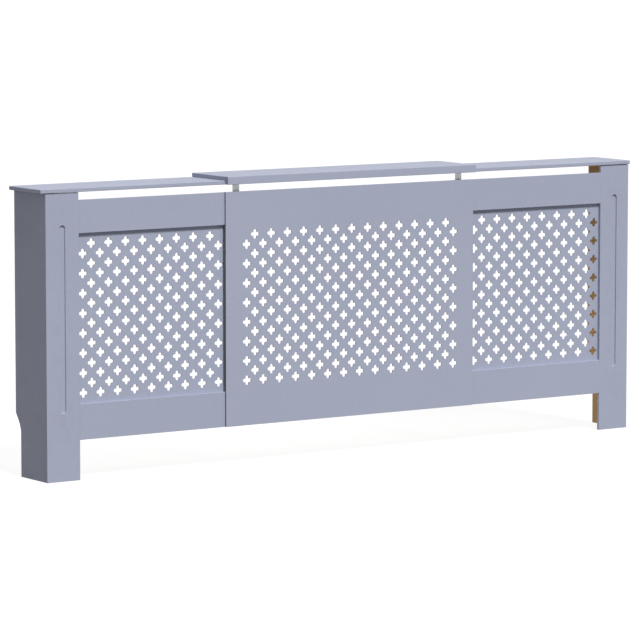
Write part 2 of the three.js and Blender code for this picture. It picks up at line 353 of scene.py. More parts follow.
def plain_board(node: str, facing: Facing, ease: float, corner: float | None = None) -> Shell:
    """A rectangular board with eased edges that fills a CAD node's box.

    Args:
        node: The CAD node.
        facing: How the board lies.
        ease: Radius of the eased edges over the two faces, in millimetres.
        corner: Radius of the outline's corners, where it isn't the usual one.

    Returns:
        The board's mesh.
    """
    low, high = cad_box(node)
    plane, through = list(facing.value[:2]), facing.value[2]
    outline = rectangle_outline(low[plane], high[plane], (corner or ease * CORNER_TO_EASE) * MM)
    shell = Shell()
    add_slab(shell, outline, facing, low[through], high[through], ease * MM)
    return shell


def install(shell: Shell, name: str, body: str, look: Look) -> Object:
    """Build a piece of a given name and look, put it on its CAD body and return it."""
    piece = shell.build(name, look)
    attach(piece, body)
    log.info("%s: %d faces on %s", name, len(piece.data.polygons), body)
    return piece


def dress(shell: Shell, node: str, body: str, look: Look) -> None:
    """Install a piece that is named after a CAD node and stands for it."""
    piece = install(shell, f"{node}_dressed", body, look)
    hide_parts(node)


# ---- material effects


class NodePen:
    """Adds nodes to one node tree and wires them."""

    def __init__(self, tree: NodeTree) -> None:
        """Draw in the given tree."""
        self.tree = tree

    def feed(self, node: Node, inputs: dict) -> None:
        """Give a node's inputs, by name or number, their values or the sockets that feed them."""
        for key, value in inputs.items():
            if isinstance(value, NodeSocket):
                self.tree.links.new(value, node.inputs[key])
            else:
                node.inputs[key].default_value = value

    def add(self, kind: str, inputs: dict | None = None, **settings: object) -> Node:
        """Add one node and return it.

        Args:
            kind: The node's type.
            inputs: Values for its inputs, or sockets that feed them, by name or number.
            **settings: The node's own properties.
        """
        node = self.tree.nodes.new(kind)
        for key, value in settings.items():
            setattr(node, key, value)
        self.feed(node, inputs or {})
        return node

    def math(self, operation: str, first: object, second: object, clamp: bool = False) -> NodeSocket:
        """Add a Math node and return its result."""
        inputs = {0: first, 1: second}
        return self.add("ShaderNodeMath", inputs, operation=operation, use_clamp=clamp).outputs[0]

    def blend(self, share: object, first: object, second: object) -> NodeSocket:
        """Mix two colours by a share and return the result."""
        inputs = {0: share, 6: first, 7: second}
        return self.add("ShaderNodeMix", inputs, data_type="RGBA").outputs[2]

    def spread(
        self, value: object, low: object, high: object, source: tuple[float, float] = (0.3, 0.7)
    ) -> NodeSocket:
        """Map a value from the source range to low…high and return it."""
        inputs = {"Value": value, "From Min": source[0], "From Max": source[1], "To Min": low, "To Max": high}
        return self.add("ShaderNodeMapRange", inputs).outputs["Result"]

    def noise(self, scale: object, detail: float, stretch: Direction | None = None) -> NodeSocket:
        """Noise on Object coordinates, in cycles per metre, stretched along the axes if need be."""
        where = self.add("ShaderNodeTexCoord").outputs["Object"]
        if stretch:
            where = self.add("ShaderNodeMapping", {"Vector": where, "Scale": stretch}).outputs[0]
        return self.add("ShaderNodeTexNoise", {"Vector": where, "Scale": scale, "Detail": detail}).outputs[0]

    def effect(self, group: NodeTree, inputs: dict) -> NodeSocket:
        """Place a shared effect and return its result."""
        return self.add("ShaderNodeGroup", inputs, node_tree=group).outputs[0]


def new_effect(
    name: str, inputs: dict[str, object], result: str, kind: str
) -> tuple[NodePen, NodeOutputs, Node]:
    """Start a shader node group with named sockets.

    Args:
        name: The group's name.
        inputs: Default of each input; four numbers make a colour, one a value.
        result: The output's name.
        kind: The output's socket type.

    Returns:
        A pen for the group, its inputs as sockets and its output node.
    """
    group = bpy.data.node_groups.new(name, "ShaderNodeTree")
    for label, default in inputs.items():
        sort = "NodeSocketColor" if isinstance(default, tuple) else "NodeSocketFloat"
        group.interface.new_socket(name=label, in_out="INPUT", socket_type=sort).default_value = default
    group.interface.new_socket(name=result, in_out="OUTPUT", socket_type=kind)
    pen = NodePen(group)
    return pen, pen.add("NodeGroupInput").outputs, pen.add("NodeGroupOutput")


def tone_drift_effect() -> NodeTree:
    """Slow, faint drift of a colour's lightness over a surface, as uneven film or board gives."""
    inputs = {"Colour": MID_GREY, "Scale": 3.0, "Spread": 0.02}
    pen, given, sink = new_effect("tone_drift", inputs, "Colour", "NodeSocketColor")
    cloud = pen.noise(given["Scale"], detail=3.0)
    darkest = pen.math("SUBTRACT", 1.0, given["Spread"])
    lightest = pen.math("ADD", 1.0, given["Spread"])
    factor = pen.spread(cloud, darkest, lightest)
    scaled = pen.add("ShaderNodeVectorMath", {0: given["Colour"], "Scale": factor}, operation="SCALE")
    pen.feed(sink, {"Colour": scaled.outputs[0]})
    return pen.tree


def arris_wear_effect() -> NodeTree:
    """Wear along the eased edges: the wear attribute, broken up by noise, shows what lies under."""
    inputs = {"Colour": MID_GREY, "Under Colour": MID_GREY, "Amount": 0.3, "Patch Scale": 60.0}
    pen, given, sink = new_effect("arris_wear", inputs, "Colour", "NodeSocketColor")
    edge = pen.add("ShaderNodeAttribute", attribute_name=WEAR_ATTRIBUTE).outputs["Fac"]
    patches = pen.spread(pen.noise(given["Patch Scale"], detail=4.0), 0.0, 1.0, source=(0.45, 0.62))
    mask = pen.math("MULTIPLY", pen.math("MULTIPLY", edge, patches), given["Amount"], clamp=True)
    pen.feed(sink, {"Colour": pen.blend(mask, given["Colour"], given["Under Colour"])})
    return pen.tree


def fine_grain_effect() -> NodeTree:
    """Small surface relief: a coarse and a four times finer noise, added as one height."""
    inputs = {"Scale": 500.0, "Fine Share": 0.35}
    pen, given, sink = new_effect("fine_grain", inputs, "Height", "NodeSocketFloat")
    coarse = pen.noise(given["Scale"], detail=1.0)
    fine = pen.noise(pen.math("MULTIPLY", given["Scale"], 4.0), detail=1.0)
    height = pen.math("ADD", coarse, pen.math("MULTIPLY", fine, given["Fine Share"]))
    pen.feed(sink, {"Height": height})
    return pen.tree


@dataclass
class Effects:
    """The shared material effects, each built once."""

    tone_drift: NodeTree = field(default_factory=tone_drift_effect)
    arris_wear: NodeTree = field(default_factory=arris_wear_effect)
    fine_grain: NodeTree = field(default_factory=fine_grain_effect)

    def drift(self, pen: NodePen, colour: object, scale: float, spread: float) -> NodeSocket:
        """Place a tone drift over a colour and return the drifting colour."""
        return pen.effect(self.tone_drift, {"Colour": colour, "Scale": scale, "Spread": spread})


def new_material(name: str, constants: dict[str, object]) -> tuple[Material, NodePen, Node]:
    """Start a material with constants on its Principled shader's own sockets.

    Returns:
        The material, a pen for it and its Principled shader.
    """
    material = bpy.data.materials.new(name)
    material.use_nodes = True
    pen = NodePen(material.node_tree)
    shader = material.node_tree.nodes["Principled BSDF"]
    pen.feed(shader, constants)
    return material, pen, shader


# ---- finishes


@dataclass(frozen=True)
class Wear:
    """Wear along the arrises: its strength, its patches per metre and the colour that it bares."""

    amount: float
    patches: float
    under: Colour


@dataclass(frozen=True)
class Relief:
    """Small relief: grains per metre, share of the finer grain, bump strength and height in metres."""

    grains: float
    fine_share: float
    strength: float
    height: float


@dataclass(frozen=True)
class Finish:
    """A finish: a colour and a roughness of its own, with worn arrises and small relief."""

    name: str
    wear: Wear
    relief: Relief
    specular: float = 0.5
    metallic: float = 0.0

    def surface(self, pen: NodePen, effects: Effects) -> tuple[NodeSocket, NodeSocket]:
        """The finish's colour before wear, and its roughness; each finish has its own."""
        raise NotImplementedError

    def material(self, effects: Effects) -> Material:
        """Build the finish with the shared effects."""
        constants = {"Specular IOR Level": self.specular, "Metallic": self.metallic}
        material, pen, shader = new_material(self.name, constants)
        colour, rough = self.surface(pen, effects)
        wear = {"Under Colour": self.wear.under, "Amount": self.wear.amount, "Patch Scale": self.wear.patches}
        worn = pen.effect(effects.arris_wear, {"Colour": colour, **wear})
        grain = {"Scale": self.relief.grains, "Fine Share": self.relief.fine_share}
        height = pen.effect(effects.fine_grain, grain)
        relief = {"Height": height, "Strength": self.relief.strength, "Distance": self.relief.height}
        bump = pen.add("ShaderNodeBump", relief).outputs[0]
        pen.feed(shader, {"Base Color": worn, "Roughness": rough, "Normal": bump})
        return material


@dataclass(frozen=True)
class PaintedFinish(Finish):
    """Blue-grey satin paint, sprayed on fibreboard."""

    name: str = "satin_paint"
    wear: Wear = Wear(0.35, 45.0, (0.30, 0.31, 0.38, 1.0))
    relief: Relief = Relief(420.0, 0.3, 0.22, 0.00025)
    specular: float = 0.28
    colour: Colour = (0.395, 0.423, 0.538, 1.0)
    roughness: tuple[float, float] = (0.44, 0.56)

    def surface(self, pen: NodePen, effects: Effects) -> tuple[NodeSocket, NodeSocket]:
        """A colour that drifts slowly and mottles finely; a sheen that varies by the hand's width."""
        drifted = effects.drift(pen, self.colour, scale=2.2, spread=0.02)
        mottled = effects.drift(pen, drifted, scale=70.0, spread=0.012)
        return mottled, pen.spread(pen.noise(28.0, detail=3.0), *self.roughness)


@dataclass(frozen=True)
class BareFinish(Finish):
    """Bare brown fibreboard: pressed fibres, with darker flecks and a dry, matt face."""

    light: Colour = (0.65, 0.425, 0.205, 1.0)
    dark: Colour = (0.51, 0.325, 0.145, 1.0)
    fleck: Colour = (0.27, 0.16, 0.065, 1.0)
    name: str = "bare_fibreboard"
    wear: Wear = Wear(0.5, 90.0, light)
    relief: Relief = Relief(650.0, 0.5, 0.45, 0.0003)
    specular: float = 0.2
    roughness: tuple[float, float] = (0.78, 0.92)

    def surface(self, pen: NodePen, effects: Effects) -> tuple[NodeSocket, NodeSocket]:
        """Fibres between the light and the dark tone, with flecks over them; light fibres are drier."""
        fibres = pen.spread(pen.noise(380.0, 5.0, stretch=(1.0, 1.0, 0.45)), 0.0, 1.0, source=(0.35, 0.65))
        board = pen.blend(fibres, self.dark, self.light)
        specks = pen.spread(pen.noise(750.0, detail=2.0), 0.0, 0.8, source=(0.62, 0.72))
        flecked = pen.blend(specks, board, self.fleck)
        drifted = effects.drift(pen, flecked, scale=5.0, spread=0.05)
        return drifted, pen.spread(fibres, *self.roughness, source=(0.0, 1.0))


@dataclass(frozen=True)
class ZincFinish(Finish):
    """Bright zinc plating on pressed steel, with faint clouding and roller lines."""

    name: str = "zinc_plate"
    wear: Wear = Wear(0.5, 200.0, (0.36, 0.365, 0.36, 1.0))
    relief: Relief = Relief(900.0, 0.2, 0.08, 0.0001)
    metallic: float = 0.85
    colour: Colour = (0.505, 0.52, 0.52, 1.0)
    roughness: tuple[float, float] = (0.30, 0.46)

    def surface(self, pen: NodePen, effects: Effects) -> tuple[NodeSocket, NodeSocket]:
        """A clouded colour, and a roughness in upright lines."""
        clouded = effects.drift(pen, self.colour, scale=110.0, spread=0.08)
        lines = pen.noise(300.0, detail=2.0, stretch=(1.0, 1.0, 0.05))
        return clouded, pen.spread(lines, *self.roughness)


class Finishes:
    """The cabinet's finishes, as looks for its pieces."""

    def __init__(self) -> None:
        """Build the materials; the sliding panel's cut ends and its runners get a dark paint that is painted
        shade, standing in for the shadow beside the panel's ends.
        """
        effects = Effects()
        self.paint = PaintedFinish().material(effects)
        # Painted shade: a dark paint on the sliding panel's ends and runners stands in for the shadow beside
        # the panel's edge.
        painted_shade_dark = PaintedFinish(
            name="painted_shade_dark",
            wear=Wear(0.35, 45.0, (0.11, 0.115, 0.125, 1.0)),
            colour=(0.16, 0.175, 0.195, 1.0),
            roughness=(0.6, 0.72),
        )
        self.painted_shade_material = painted_shade_dark.material(effects)
        self.board = BareFinish().material(effects)
        self.painted = Look(Slot.PAINTED, self.paint)
        self.painted_shade_look = Look(Slot.PAINTED, self.painted_shade_material)
        self.bare = Look(Slot.BARE, self.board)
        self.zinc = Look(Slot.ZINC, ZincFinish().material(effects))

    def bare_towards(self, direction: Direction) -> Look:
        """Paint, with bare board on the face that is left unpainted."""
        return Look(Slot.PAINTED, self.paint, {direction: self.board})

    def sliding_panel(self) -> Look:
        """Paint, with a bare back and ends in the dark paint that is painted shade."""
        faces = {BACKWARDS: self.board, LEFTWARDS: self.painted_shade_material, RIGHTWARDS: self.painted_shade_material}
        return Look(Slot.PAINTED, self.paint, faces)


# ---- pierced boards


@dataclass(frozen=True)
class CrossLattice:
    """Staggered columns of cross-shaped holes, as cells that tile a board's face.

    Each cell is a square standing on its corner, half_pitch from its centre to each corner, with
    one cross in it. Cell (i, j) exists where i + j is even. The columns are an odd number, and
    middle is the X of the middle one, in metres. The holes widen towards the back face by
    back_flare all round.
    """

    columns: int
    middle: float
    back_flare: float = 0.0
    rows: int = 16
    half_pitch: float = 27.65
    lowest: float = 240.5
    reach: float = 13.65
    arm_half_width: float = 4.95
    inner_corner: float = 5.25
    corner_lean: float = 4.0
    hole_ease: float = 0.3
    hole_wear: float = 0.8

    def cross(self) -> Outline:
        """Outline of one cross, in metres, with 32 points from the tip of the arm along +X.

        Each arm ends in a half circle of the arm's half width, and its points are taken every
        30 degrees. Between two arms there is one inner corner, and the normals beside it lean
        towards it by corner_lean, so that it looks slightly rounded off.
        """
        end = self.reach - self.arm_half_width
        rise = np.radians([0.0, 30.0, 60.0, 90.0])
        arm = np.stack([end + self.arm_half_width * np.cos(rise), self.arm_half_width * np.sin(rise)], axis=1)
        quarter = np.concatenate([arm, [[self.inner_corner, self.inner_corner]], arm[:0:-1, ::-1]])
        lean = self.corner_lean
        facing = np.radians([0.0, 30.0, 60.0, 90.0 - lean, 45.0, lean, 30.0, 60.0])
        looks = np.stack([np.cos(facing), np.sin(facing)], axis=1)
        turns = np.arange(4) * math.pi / 2
        spin = np.array([[np.cos(turns), -np.sin(turns)], [np.sin(turns), np.cos(turns)]])
        turned = [np.einsum("abk,nb->kna", spin, part).reshape(-1, 2) for part in (quarter, looks)]
        return Outline(turned[0] * MM, turned[1])

    def loop(self) -> Array:
        """Zigzag outline of the field of cells, counter-clockwise, counted in half pitches."""
        along, rise = np.arange(self.columns), np.arange(self.rows)
        bottom = np.stack([along, np.where(along % 2 == 0, -1, 0)], 1)
        right = np.stack([self.columns - rise % 2, rise], 1)
        top = np.stack([along, np.where(along % 2 == 0, self.rows - 1, self.rows)], 1)[-2::-1]
        left = np.stack([rise % 2 - 1, rise], 1)[-2::-1]
        return np.concatenate([bottom, right, top, left])

    def line_holes(self, shell: Shell, centres: Array, front: float, back: float) -> list[Array]:
        """Add the holes' eased front edges and their walls.

        Args:
            shell: The board's mesh.
            centres: The holes' centres, across and up.
            front: Y of the front face.
            back: Y of the back face.

        Returns:
            Numbers of the holes' points on the front face, where the easing ends and on the back.
        """
        cross = self.cross()
        hole = centres[:, None] + cross.points
        eased = hole + cross.normals * self.hole_ease * MM
        flared = hole + cross.normals * self.back_flare * MM
        foot = front + self.hole_ease * MM
        edges = ((eased, front, 0.0), (hole, foot, self.hole_wear), (flared, back, 0.0))
        rings = [
            shell.add_points(board_points(Facing.FRONT, edge[..., 0], edge[..., 1], depth), worn)
            for edge, depth, worn in edges
        ]
        inwards = board_points(Facing.FRONT, -cross.normals[:, 0], -cross.normals[:, 1], 0.0)
        wall = np.broadcast_to(inwards, hole.shape[:2] + (3,))
        face = np.broadcast_to(FORWARDS, wall.shape)
        shell.add_grid(np.stack(rings, 1), np.stack([face, wall, wall], 1))
        return rings

    def board(self, box: Array, ease: float) -> Shell:
        """Upright board with the lattice cut through it.

        On both faces each cell is four tiles, one from each of its sides to a quarter of its hole,
        and a flat ring joins the cells' zigzag outline to the board's border.

        Args:
            box: The board's lowest and highest corner.
            ease: Radius of its eased outer edges, in millimetres.

        Returns:
            The board's mesh.
        """
        front, back = box[:, 1]
        outline = rectangle_outline(box[0, [0, 2]], box[1, [0, 2]], CORNER_TO_EASE * ease * MM)
        shell = Shell()
        borders = add_slab(shell, outline, Facing.FRONT, front, back, ease * MM, closed=False)
        pitch = self.half_pitch * MM
        origin = np.array([self.middle - (self.columns - 1) / 2 * pitch, self.lowest * MM])
        exists = np.add.outer(np.arange(self.columns), np.arange(self.rows)) % 2 == 0
        cells = np.argwhere(exists)
        steps = np.array([[1, 0], [0, 1], [-1, 0], [0, -1]])
        places, which = np.unique((cells[:, None] + steps).reshape(-1, 2), axis=0, return_inverse=True)
        which = which.reshape(-1, 4)
        spots = origin + places * pitch
        rings = self.line_holes(shell, origin + cells * pitch, front, back)
        lookup = np.zeros((self.columns + 2, self.rows + 2), int)
        lookup[places[:, 0] + 1, places[:, 1] + 1] = np.arange(len(places))
        loop = self.loop() + 1
        zigzag = lookup[loop[:, 0], loop[:, 1]]
        sides = rings[0].shape[1]
        quarters = np.arange(4)[:, None] * (sides // 4) + np.arange(sides // 4 + 1)[::-1]
        for y, ring, border, normal in (
            (front, rings[0], borders[0], FORWARDS),
            (back, rings[-1], borders[-1], BACKWARDS),
        ):
            corner = shell.add_points(board_points(Facing.FRONT, spots[:, 0], spots[:, 1], y))
            corners = corner[which]
            pair = np.stack([corners, np.roll(corners, -1, axis=1)], -1)
            tiles = np.concatenate([pair, ring[:, quarters % sides]], axis=-1)
            shell.add_faces(tiles.reshape(-1, tiles.shape[-1]), normal)
            shell.add_flat_between(border, corner[zigzag], (0, self.columns + self.rows - 1), normal)
        return shell


# ---- fasteners


@dataclass(frozen=True)
class PanScrew:
    """Small pan-head screw with a cross recess, whose flanks are flank_slope steep."""

    radius: float = 3.4
    height: float = 2.0
    recess_reach: float = 1.9
    recess_half_width: float = 0.45
    recess_depth: float = 1.0
    flank_slope: float = 9.0
    ring_shares: tuple[float, ...] = (1.0, 0.995, 0.95, 0.82, 0.66, 0.56, 0.5, 0.4, 0.28, 0.16, 0.05)
    sides: int = 32
    first_angle: float = 11.0
    wear: float = 0.3

    def add(self, shell: Shell, centre: Array, towards: Array) -> None:
        """Add one head.

        On a grid of radius and angle the height is a dome, height·sqrt(1 − (r/R)^4), less the
        recess: its full depth where the smaller of the two distances from the recess's lines is
        under its half width and r is within its reach, with soft flanks.

        Args:
            shell: The mesh to add to.
            centre: Middle of the head's seat, in metres.
            towards: Unit vector out of the head.
        """
        upright = abs(towards[2]) > 0.5
        helper = np.array([1.0, 0.0, 0.0]) if upright else np.array([0.0, 0.0, 1.0])
        side = np.cross(towards, helper)
        up = np.cross(towards, side)
        radii = np.array(self.ring_shares) * self.radius
        angles = np.linspace(0, 2 * math.pi, self.sides, endpoint=False) + math.radians(self.first_angle)
        r, a = np.meshgrid(radii, angles, indexing="ij")
        x, y = r * np.cos(a), r * np.sin(a)
        dome = self.height * np.sqrt(1 - (r / self.radius) ** 4)
        off_line = np.minimum(np.abs(x), np.abs(y)) - self.recess_half_width
        line = 1 / (1 + np.exp(off_line * self.flank_slope))
        within = 1 / (1 + np.exp((r - self.recess_reach) * self.flank_slope))
        height = dome - self.recess_depth * line * within
        x, y, height = (part[..., None] * MM for part in (x, y, height))
        points = centre + x * side + y * up + height * towards
        normals = grid_normals(points)
        normals *= np.sign((normals[3] @ towards).mean())
        numbers = shell.add_points(points, self.wear)
        shell.add_grid(numbers, normals)
        shell.add_faces(numbers[-1:], towards)
        shell.add_faces(numbers[:1], -towards)


# ---- end units


def angle_section(low: Array, high: Array, sheet: float, heel_right: bool) -> Array:
    """Section of a sheet-metal angle that fills a rectangle.

    Args:
        low: The rectangle's lowest corner.
        high: Its highest corner.
        sheet: Thickness of the sheet.
        heel_right: Whether the heel is at the top right, and not at the top left.

    Returns:
        The six corners, counter-clockwise, heel first.
    """
    (left, bottom), (right, top) = low, high
    heel, toe, inside = (right, left, right - sheet) if heel_right else (left, right, left + sheet)
    legs = [[heel, bottom], [inside, bottom], [inside, top - sheet], [toe, top - sheet], [toe, top]]
    return np.array([[heel, top], *(legs[::-1] if heel_right else legs)])


def cubic_curve(poles: Array, count: int) -> Array:
    """Points of a cubic curve: at share t, four poles weighted by the terms of ((1 − t) + t)³."""
    t = np.linspace(0, 1, count)[:, None]
    weights = ((1 - t) ** 3, 3 * t * (1 - t) ** 2, 3 * t**2 * (1 - t), t**3)
    return sum(weight * pole for weight, pole in zip(weights, poles))


@dataclass
class EndUnit:
    """One end of the cabinet: side panel, front frame, grille, shelf and fittings."""

    side: Side
    finishes: Finishes
    arris: float = 0.8
    joint_ease: float = 0.15
    stile_arris: float = 0.5
    shelf_joint: float = 1.2
    shelf_arris: float = 1.6
    shelf_corner: float = 4.0
    grille_arris: float = 0.4
    batten_arris: float = 1.0
    skirting_cut: float = 28.0
    skirting_straight: float = 120.0
    skirting_top: float = 178.0
    skirting_radius: float = 20.0
    skirting_pulls: tuple[float, float, float] = (0.4, 0.25, 0.3)
    flute_width: float = 17.6
    flute_depth: float = 4.2
    flute_bottom: float = 189.0
    flute_top: float = 709.5
    flute_lip: float = 0.7
    flute_cove: float = 1.3
    flute_wear: float = 0.5
    columns: int = 17
    outermost_column: float = 887.5
    sheet: float = 2.0
    sheet_edge: float = 0.4
    sheet_ease: float = 0.3
    bend: float = 3.0
    bracket_screws: tuple[float, float] = (12.0, 40.0)
    bracket_screw_inset: float = 12.0
    wall_screw_inset: float = 9.0
    batten_screws: tuple[float, ...] = (90.0, 300.0, 510.0, 690.0)
    cleat_screws: tuple[float, float] = (12.0, 48.0)

    def node(self, name: str) -> str:
        """A CAD node's full name on this side."""
        return f"{self.side.word}_{name}"

    def box(self, name: str) -> Array:
        """The box of a CAD node on this side, 2×3, in metres."""
        return cad_box(self.node(name))

    @property
    def inwards(self) -> Direction:
        """Unit vector from this end towards the middle of the cabinet."""
        return LEFTWARDS if self.side is Side.RIGHT else RIGHTWARDS

    def put(self, shell: Shell, name: str, look: Look) -> None:
        """Install a piece that stands for the CAD node of the same name on this side."""
        dress(shell, self.node(name), self.side.body, look)

    def put_screws(self, name: str, centres: list[list[float]], towards: Direction) -> None:
        """Install equal screw heads, as one mesh, that look along a direction from their seats."""
        shell = Shell()
        for centre in centres:
            PanScrew().add(shell, np.array(centre), np.array(towards))
        install(shell, self.node(name), self.side.body, self.finishes.zinc)

    def side_panel(self) -> None:
        """Side board, cut away at its lower back in an S-curve that clears the skirting.

        The curve is a cubic from the leg's back edge to the panel's. It leaves the leg upright,
        pulled by the first share of its rise, and meets the panel's edge on a slant, pulled by the
        second share of its rise and by the third of the cut's depth.
        """
        low, high = self.box("side_panel")
        front, back, top = low[1], high[1], high[2]
        cut = self.skirting_cut * MM
        leg = back - cut
        start, end = self.skirting_straight * MM, self.skirting_top * MM
        rise = end - start
        leave, meet, slant = self.skirting_pulls
        first_pull = [leg, start + leave * rise]
        second_pull = [back - slant * cut, end - meet * rise]
        curve = cubic_curve(np.array([[leg, start], first_pull, second_pull, [back, end]]), 12)
        corners = np.concatenate([[[front, 0.0], [leg, 0.0]], curve, [[back, top], [front, top]]])
        radius = np.full(len(corners), CORNER_TO_EASE * self.arris * MM)
        radius[3:-3] = self.skirting_radius * MM
        shell = Shell()
        add_slab(shell, rounded_outline(corners, radius), Facing.END, low[0], high[0], self.arris * MM)
        self.put(shell, "side_panel", self.finishes.bare_towards(self.inwards))

    def add_flute(self, shell: Shell, middle: float, front: float) -> Array:
        """Add a stopped, flat-bottomed flute to an upright face.

        The flute's outline is two half circles joined by straight lines. From its flat floor the
        section rises in a quarter circle (the cove), runs up the wall and rolls over a quarter
        circle (the lip) on to the face; at angle t the lip's and the cove's normals turn by t
        between the face's direction and the wall's.

        Args:
            shell: The mesh to add to.
            middle: X of the flute's middle.
            front: Y of the face.

        Returns:
            Numbers of the flute's edge, from the left end of its lower half circle.
        """
        sizes = (self.flute_width / 2, self.flute_depth, self.flute_lip, self.flute_cove)
        half, depth, lip, cove = (size * MM for size in sizes)
        turn = QUARTER_TURN
        r = np.concatenate([half + lip * (1 - np.sin(turn)), half - cove * (1 - np.cos(turn))])[:, None]
        sunk = np.concatenate([lip * (1 - np.cos(turn)), depth - cove * (1 - np.sin(turn))])[:, None]
        inward = np.concatenate([np.sin(turn), np.cos(turn)])[:, None]
        outward = np.concatenate([np.cos(turn), np.sin(turn)])[:, None]
        arc = np.linspace(0, math.pi, 13)
        angles = np.concatenate([math.pi + arc, arc])
        base = np.repeat([self.flute_bottom * MM + half, self.flute_top * MM - half], len(arc))
        cos, sin = np.cos(angles), np.sin(angles)
        points = board_points(Facing.FRONT, middle + r * cos, base + r * sin, front + sunk)
        normals = board_points(Facing.FRONT, -inward * cos, -inward * sin, -outward)
        rings = shell.add_points(points, np.where(r > half, self.flute_wear, 0.0))
        shell.add_grid(rings, normals)
        shell.add_faces(rings[-1:], FORWARDS)
        return rings[0]

    def outer_stile(self) -> None:
        """Front leg with a flute, and a fine shadow joint between its top and the shelf."""
        low, high = self.box("outer_stile")
        ease = self.stile_arris * MM
        top = high[[0, 2]] - np.array([0.0, self.shelf_joint * MM])
        outline = rectangle_outline(low[[0, 2]], top, CORNER_TO_EASE * ease)
        shell = Shell()
        rings = add_slab(shell, outline, Facing.FRONT, low[1], high[1], ease, closed=False)
        shell.add_faces(rings[-1:], BACKWARDS)
        edge = self.add_flute(shell, (low[0] + high[0]) / 2, low[1])
        lowest = len(edge) // 4
        shell.add_flat_between(rings[0], edge, (lowest, lowest + len(edge) // 2), FORWARDS)
        self.put(shell, "outer_stile", self.finishes.bare_towards(BACKWARDS))

    def board(self, name: str, facing: Facing, ease: float, look: Look, corner: float | None = None) -> None:
        """Rectangular board that fills the CAD node of the same name on this side."""
        self.put(plain_board(self.node(name), facing, ease, corner), name, look)

    def grille(self) -> None:
        """Pierced board behind the frame."""
        reach = (self.columns - 1) / 2 * CrossLattice.half_pitch
        offset = self.side.value * (self.outermost_column - reach) * MM
        lattice = CrossLattice(self.columns, cad_box("middle_panel")[:, 0].mean() + offset)
        shell = lattice.board(self.box("grille"), self.grille_arris)
        self.put(shell, "grille", self.finishes.bare_towards(BACKWARDS))

    def shelf(self) -> None:
        """Thin shelf with soft edges and rounded outer corners."""
        low, high = self.box("shelf")
        small, large = CORNER_TO_EASE * self.shelf_arris * MM, self.shelf_corner * MM
        left = self.side is Side.LEFT
        radii = np.array([large, small, small, large] if left else [small, large, large, small])
        shell = Shell()
        outline = rectangle_outline(low[:2], high[:2], radii)
        add_slab(shell, outline, Facing.TOP, low[2], high[2], self.shelf_arris * MM)
        self.put(shell, "shelf", self.finishes.painted)

    def angle(self, name: str, facing: Facing, heel_right: bool = False) -> None:
        """Bent steel angle with a round heel.

        Args:
            name: Its CAD node, without the side.
            facing: The plane of its section.
            heel_right: Whether the heel is at the section's top right, and not its top left.
        """
        low, high = self.box(name)
        plane, through = list(facing.value[:2]), facing.value[2]
        section = angle_section(low[plane], high[plane], self.sheet * MM, heel_right)
        edge = self.sheet_edge
        radius = np.array([self.bend, edge, edge, self.bend - self.sheet, edge, edge]) * MM
        outline = rounded_outline(section, radius)
        shell = Shell()
        add_slab(shell, outline, facing, low[through], high[through], self.sheet_ease * MM)
        self.put(shell, name, self.finishes.zinc)

    def shelf_bracket(self) -> None:
        """Angle across the air slot, with two screws into the frame and one into the shelf."""
        self.angle("shelf_bracket", Facing.END)
        low, high = self.box("shelf_bracket")
        x, sheet = (low[0] + high[0]) / 2, self.sheet * MM
        down = [[x, low[1] + sheet, low[2] + rise * MM] for rise in self.bracket_screws]
        self.put_screws("shelf_bracket_frame_screws", down, BACKWARDS)
        under = [[x, high[1] - self.bracket_screw_inset * MM, high[2] - sheet]]
        self.put_screws("shelf_bracket_shelf_screws", under, DOWNWARDS)

    def wall_bracket(self) -> None:
        """Angle on the side panel that takes the wall screw, with the screw that holds it."""
        left = self.side is Side.LEFT
        self.angle("wall_bracket", Facing.TOP, heel_right=not left)
        low, high = self.box("wall_bracket")
        seat = low[0] + self.sheet * MM if left else high[0] - self.sheet * MM
        centre = [seat, low[1] + self.wall_screw_inset * MM, (low[2] + high[2]) / 2]
        self.put_screws("wall_bracket_screw", [centre], self.inwards)

    def wood_screws(self) -> None:
        """Screws through the corner batten into the stile and through the cleat into the shelf."""
        low, high = self.box("corner_batten")
        x = (low[0] + high[0]) / 2
        upright = [[x, high[1], z * MM] for z in self.batten_screws]
        self.put_screws("corner_batten_screws", upright, BACKWARDS)
        cleat = self.box("shelf_cleat")[0]
        level = [[x, cleat[1] + y * MM, cleat[2]] for y in self.cleat_screws]
        self.put_screws("shelf_cleat_screws", level, DOWNWARDS)

    def build(self) -> None:
        """Build every piece of the unit; the rails' square ends butt against the stiles."""
        back_bare = self.finishes.bare_towards(BACKWARDS)
        self.side_panel()
        self.outer_stile()
        for rail in ("top_rail", "bottom_rail"):
            self.board(rail, Facing.END, self.joint_ease, back_bare, self.arris)
        self.board("inner_stile", Facing.FRONT, self.arris, back_bare)
        self.grille()
        self.shelf()
        for batten in ("corner_batten", "shelf_cleat"):
            self.board(batten, Facing.END, self.batten_arris, self.finishes.bare)
        self.shelf_bracket()
        self.wall_bracket()
        self.wood_screws()


# ---- middle unit


